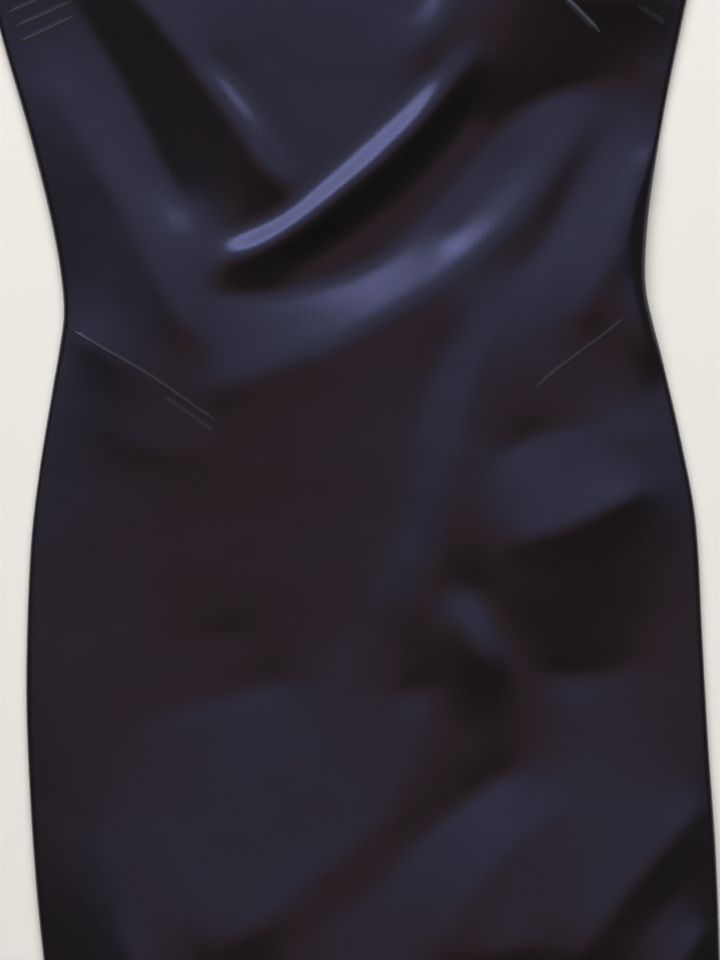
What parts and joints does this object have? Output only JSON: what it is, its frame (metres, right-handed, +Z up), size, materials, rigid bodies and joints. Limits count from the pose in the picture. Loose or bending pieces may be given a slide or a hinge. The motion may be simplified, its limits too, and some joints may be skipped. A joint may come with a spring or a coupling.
{
  "type": "sheath dress laid flat",
  "caption": "Sleeveless knee-length sheath dress in dark satin, laid flat face up, with soft drag folds, stitched hip darts and bust tucks, and a concealed back zip.",
  "frame": {"origin": "centre of the underside of the laid dress, on the surface that it lies on, at the middle of its length", "axes": "+X to the right of the front as it is seen, +Y from the hem to the neck, +Z up from the surface"},
  "size_m": [0.4712, 1.0001, 0.0263],
  "materials": {
    "satin": "dark navy polyester satin, smooth, soft bluish sheen",
    "zip_tape": "matt woven tape",
    "zip_enamel": "gloss enamel"
  },
  "bodies": {
    "root": {"front": "satin", "back_left": "satin", "back_right": "satin", "hip_dart_left": "satin", "hip_dart_right": "satin", "bust_tuck_left_1": "satin", "bust_tuck_left_2": "satin", "bust_tuck_left_3": "satin", "bust_tuck_right_1": "satin", "bust_tuck_right_2": "satin", "bust_tuck_right_3": "satin", "zip_tape_left": "zip_tape", "zip_tape_right": "zip_tape", "zip_slider": "zip_enamel", "zip_pull": "zip_enamel"}
  },
  "joints": []
}
